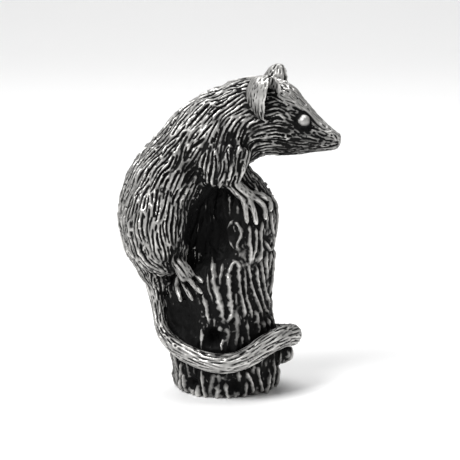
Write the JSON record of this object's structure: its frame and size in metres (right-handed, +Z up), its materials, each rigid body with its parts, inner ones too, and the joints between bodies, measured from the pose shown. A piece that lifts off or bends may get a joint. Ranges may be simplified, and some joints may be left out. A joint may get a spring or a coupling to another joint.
{
  "type": "dormouse figurine",
  "caption": "Cast pewter figurine of a dormouse climbing over a tree stump with its tail wound round the foot, standing on its flat underside.",
  "frame": {"origin": "middle of the flat underside of the stump", "axes": "+X towards the dormouse's nose, -Y towards the flank that the head is turned to, +Z up"},
  "size_m": [0.0407, 0.0226, 0.06],
  "materials": {
    "pewter": "antiqued cast pewter: bright buffed high spots, near-black patina in the grooves and hollows"
  },
  "bodies": {
    "root": {"dormouse_on_stump": "pewter"}
  },
  "joints": []
}
